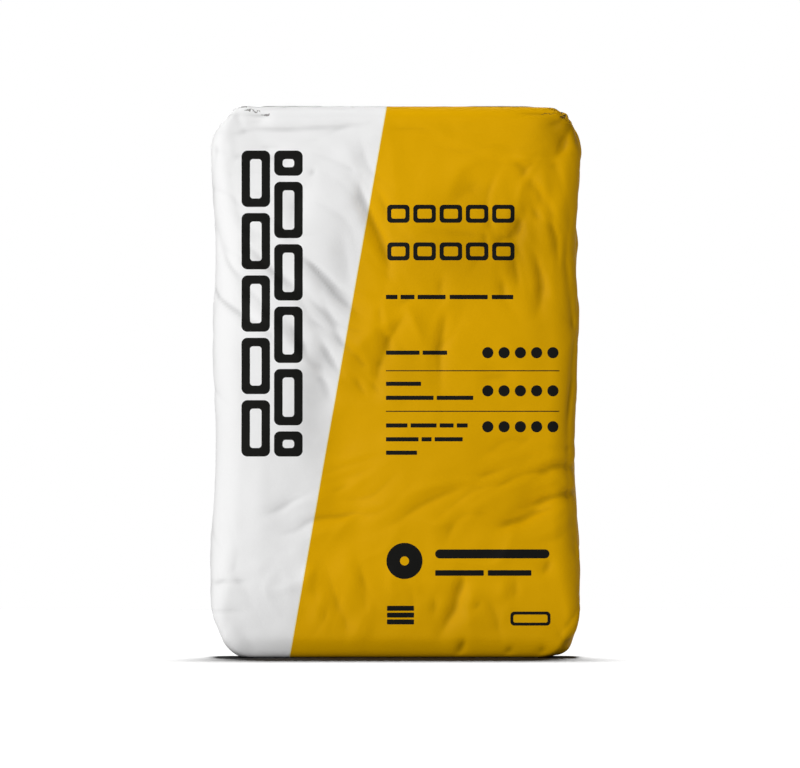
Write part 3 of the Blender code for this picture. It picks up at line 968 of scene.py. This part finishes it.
def film_material():
    """Satin film printed white and yellow, with generic black marks, painted shade and light, and painted
    shadow lines.
    """
    nodes = Finish("sack_film")
    place = nodes.add("ShaderNodeUVMap", uv_map="print").outputs[0]
    parts = nodes.add("ShaderNodeSeparateXYZ", place).outputs
    across = nodes.math("MULTIPLY", parts[0], 1.0 / MM)
    up = nodes.math("MULTIPLY", parts[1], 1.0 / MM)
    line = nodes.math("ADD", nodes.math("MULTIPLY", up, PRINT_SLOPE), PRINT_START)
    past_line = nodes.math("SUBTRACT", across, line)
    yellow = nodes.spread(past_line, -0.15, 0.15)
    lapped = nodes.math("LESS_THAN", across, SEAM_HALF - HALF_TUBE)
    yellow = nodes.math("MAXIMUM", yellow, lapped)
    group = bar_group()

    def bar(level, mark):
        return nodes.add("ShaderNodeGroup", across, level, *mark, node_tree=group).outputs[0]

    ink = 0.0
    for sign, *mark in print_marks():
        if sign > 0.0:
            ink = nodes.math("MAXIMUM", ink, bar(up, mark))
        else:
            ink = nodes.math("SUBTRACT", ink, bar(up, mark), clamp=True)
    spot = nodes.place()
    tone = nodes.spread(nodes.noise(spot, 22.0, 4.0), 0.3, 0.7, 0.975, 1.0)
    white = nodes.mix(tone, (0.83, 0.83, 0.825, 1.0), (0.88, 0.88, 0.88, 1.0))
    deep = nodes.mix(tone, (0.705, 0.367, 0.0, 1.0), (0.74, 0.388, 0.0, 1.0))
    base = nodes.mix(yellow, white, deep)
    edge = nodes.math("LESS_THAN", nodes.math("ABSOLUTE", nodes.math("ADD", past_line, 0.4)), 0.5)
    base = nodes.mix(edge, base, (0.86, 0.82, 0.52, 1.0))
    # Painted shadows of the gaps under the crumpled film at the top corners, as thin dark lines
    uneven = nodes.math("ADD", up, nodes.spread(nodes.noise(spot, 330.0, 3.0), 0.3, 0.7, -1.1, 1.1))
    crevice_shadow = 0.0
    for mark in CREVICE_SHADOWS:
        crevice_shadow = nodes.math("MAXIMUM", crevice_shadow, bar(uneven, mark))
    base = nodes.mix(nodes.math("MULTIPLY", crevice_shadow, 0.7), base, (0.05, 0.04, 0.03, 1.0))
    # Painted shade and light: the print's colour is darkened in the creases and soft areas, and lightened in
    # a few
    painted_shade = nodes.add("ShaderNodeAttribute", attribute_name="painted_shade").outputs["Fac"]
    patchy = nodes.spread(nodes.noise(spot, 35.0, 5.0, 0.6), 0.3, 0.7, 0.8, 1.1)
    lit_share = nodes.math("SUBTRACT", 1.0, nodes.math("MULTIPLY", painted_shade, patchy))
    shaded_base = nodes.add("ShaderNodeVectorMath", operation="SCALE")
    nodes.put(shaded_base.inputs[0], base)
    nodes.put(shaded_base.inputs["Scale"], lit_share)
    nodes.set("Base Color", nodes.mix(ink, shaded_base.outputs[0], (0.01, 0.01, 0.009, 1.0)))
    scuffs = nodes.spread(nodes.noise(spot, 60.0, 6.0, 0.6), 0.35, 0.75, 0.44, 0.56)
    nodes.set("Roughness", scuffs)
    fine = nodes.math("ADD", nodes.noise(spot, 90.0, 4.0, 0.55, 0.6), nodes.noise(spot, 420.0, 3.0, 0.5))
    nodes.bump(fine, 0.00025, 0.5)
    nodes.set("Specular IOR Level", 0.03)
    return nodes.material


def cover_material(name):
    """White film of the end strips."""
    nodes = Finish(name)
    spot = nodes.place()
    tone = nodes.spread(nodes.noise(spot, 30.0, 5.0), 0.35, 0.7)
    nodes.set("Base Color", nodes.mix(tone, (0.58, 0.58, 0.56, 1.0), (0.66, 0.66, 0.65, 1.0)))
    nodes.set("Roughness", nodes.spread(nodes.noise(spot, 80.0), 0.3, 0.7, 0.42, 0.56))
    nodes.set("Specular IOR Level", 0.2)
    nodes.bump(nodes.noise(spot, 110.0, 5.0, 0.55, 0.8), 0.0004, 0.6)
    return nodes.material


def sleeve_material():
    """Matt off-white film of the filling sleeve."""
    nodes = Finish("sleeve")
    spot = nodes.place()
    tone = nodes.spread(nodes.noise(spot, 60.0, 5.0), 0.35, 0.7)
    nodes.set("Base Color", nodes.mix(tone, (0.60, 0.59, 0.55, 1.0), (0.70, 0.69, 0.66, 1.0)))
    nodes.set("Roughness", nodes.spread(nodes.noise(spot, 90.0), 0.3, 0.7, 0.45, 0.6))
    nodes.bump(nodes.noise(spot, 160.0, 4.0), 0.0003, 0.6)
    return nodes.material


def powder_material():
    """Fine grey powder."""
    nodes = Finish("powder")
    spot = nodes.place()
    tone = nodes.spread(nodes.noise(spot, 140.0, 8.0, 0.7), 0.3, 0.7)
    nodes.set("Base Color", nodes.mix(tone, (0.24, 0.23, 0.21, 1.0), (0.33, 0.32, 0.30, 1.0)))
    nodes.set("Roughness", nodes.spread(tone, 0.0, 1.0, 0.9, 1.0))
    nodes.bump(nodes.noise(spot, 900.0, 8.0, 0.7), 0.0006)
    return nodes.material


def make_floor():
    """A plain floor, which other rays find darker than the camera does."""
    nodes = Finish("studio_floor")
    nodes.set("Base Color", (0.13, 0.13, 0.13, 1.0))
    nodes.set("Roughness", 1.0)
    nodes.set("Specular IOR Level", 0.0)
    dim = nodes.add("ShaderNodeBsdfDiffuse", (0.052, 0.052, 0.052, 1.0))
    camera_ray = nodes.add("ShaderNodeLightPath").outputs["Is Camera Ray"]
    blend = nodes.add("ShaderNodeMixShader", camera_ray, dim.outputs[0], nodes.shader.outputs[0])
    nodes.put(nodes.tree.nodes["Material Output"].inputs["Surface"], blend.outputs[0])
    back = 2500.0
    front = 4600.0
    side = 3500.0
    corners = np.array([(-side, -front, 0.0), (side, -front, 0.0), (side, back, 0.0), (-side, back, 0.0)])
    item = make_mesh("studio_floor", corners, [(0, 1, 2, 3)], [nodes.material], smooth=False)
    return item


def add_light(light, place, turn, lit):
    """Put a light in the studio, for the lit pieces only."""
    item = bpy.data.objects.new(light.name, light)
    item.location = place
    item.rotation_euler = turn
    bpy.context.scene.collection.objects.link(item)
    item.light_linking.receiver_collection = lit


def make_light(name, place, target, size, power, lit):
    """A soft square light that looks at a target."""
    light = bpy.data.lights.new(name, "AREA")
    light.shape = "SQUARE"
    light.size = size
    light.energy = power
    turn = (Vector(target) - Vector(place)).to_track_quat("-Z", "Y").to_euler()
    add_light(light, place, turn, lit)


def make_sky_light(name, strength, behind, spread, lit):
    """A soft light from above, some degrees from behind."""
    light = bpy.data.lights.new(name, "SUN")
    light.energy = strength
    light.angle = math.radians(spread)
    add_light(light, (0.0, 0.0, 0.0), (math.radians(-behind), 0.0, 0.0), lit)


def make_world():
    """A white world that the camera sees in full, and that lights from low down, most on the right."""
    world = bpy.data.worlds.new("studio")
    world.use_nodes = True
    world.node_tree.nodes.clear()
    nodes = Nodes(world.node_tree)
    white = (1.0, 1.0, 1.0, 1.0)
    way = nodes.add("ShaderNodeSeparateXYZ", nodes.add("ShaderNodeTexCoord").outputs["Generated"])
    low = nodes.add("ShaderNodeMapRange", way.outputs[2], 0.15, 0.75, 1.0, 0.1,
                    interpolation_type="SMOOTHSTEP").outputs[0]
    sideways = nodes.spread(way.outputs[0], -0.9, 0.9, WORLD_LEFT, WORLD_RIGHT)
    lit = nodes.add("ShaderNodeBackground", white, nodes.math("MULTIPLY", low, sideways))
    seen = nodes.add("ShaderNodeBackground", white, 1.0)
    camera_ray = nodes.add("ShaderNodeLightPath").outputs["Is Camera Ray"]
    mix = nodes.add("ShaderNodeMixShader", camera_ray, lit.outputs[0], seen.outputs[0])
    nodes.add("ShaderNodeOutputWorld", mix.outputs[0])
    bpy.context.scene.world = world


def make_camera():
    """A long lens, level with the middle of the sack."""
    camera = bpy.data.cameras.new("camera")
    item = bpy.data.objects.new("camera", camera)
    bpy.context.scene.collection.objects.link(item)
    distance = 12.0
    front = -0.058
    frame_width = 800 * 0.9964 * MM
    item.location = (0.0045, front - distance, 0.2733)
    item.rotation_euler = (math.radians(90.0), 0.0, 0.0)
    camera.sensor_width = 36.0
    camera.lens = camera.sensor_width * distance / frame_width
    camera.clip_end = 60.0
    bpy.context.scene.camera = item


def add_piece(item, node):
    """Let a piece stand for a node: hide the node's part and attach the piece to the root body."""
    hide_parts(node)
    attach(item, "root")


def main():
    """Build the sack's pieces and the studio."""
    film, film_points = make_film()
    pieces = (
        (film, "sack", "film"),
        (make_powder(film_points), "cement_fill", "powder"),
        (make_top_cover(), "top_patch", "end_strip"),
        (make_sleeve(), "valve_sleeve", "sleeve"),
    )
    lit = bpy.data.collections.new("lit_sack")
    bottom_strip = bpy.data.objects["bottom_patch"]
    bottom_strip.data.materials.clear()
    bottom_strip.data.materials.append(cover_material("bottom_cover"))
    for piece, node, slot in pieces:
        add_piece(piece, node)
        lit.objects.link(piece)
    floor = bpy.data.collections.new("lit_floor")
    floor.objects.link(make_floor())
    make_world()
    target = (0.0, 0.0, 0.27)
    make_light("key", (-2.1, -3.2, 1.65), target, 1.1, 60.0, lit)
    make_light("low_key", (-1.6, -3.4, 0.25), target, 1.1, 36.0, lit)
    make_light("side_key", (-3.3, -2.0, 1.0), target, 1.1, 38.0, lit)
    make_light("back_light", (-0.5, 4.0, 1.2), target, 1.4, 80.0, lit)
    make_sky_light("rim", 1.2, 16.0, 12.0, lit)
    make_sky_light("floor_light", 27.0, 17.0, 13.0, floor)
    make_camera()
    bpy.context.scene.view_settings.view_transform = "Standard"


main()
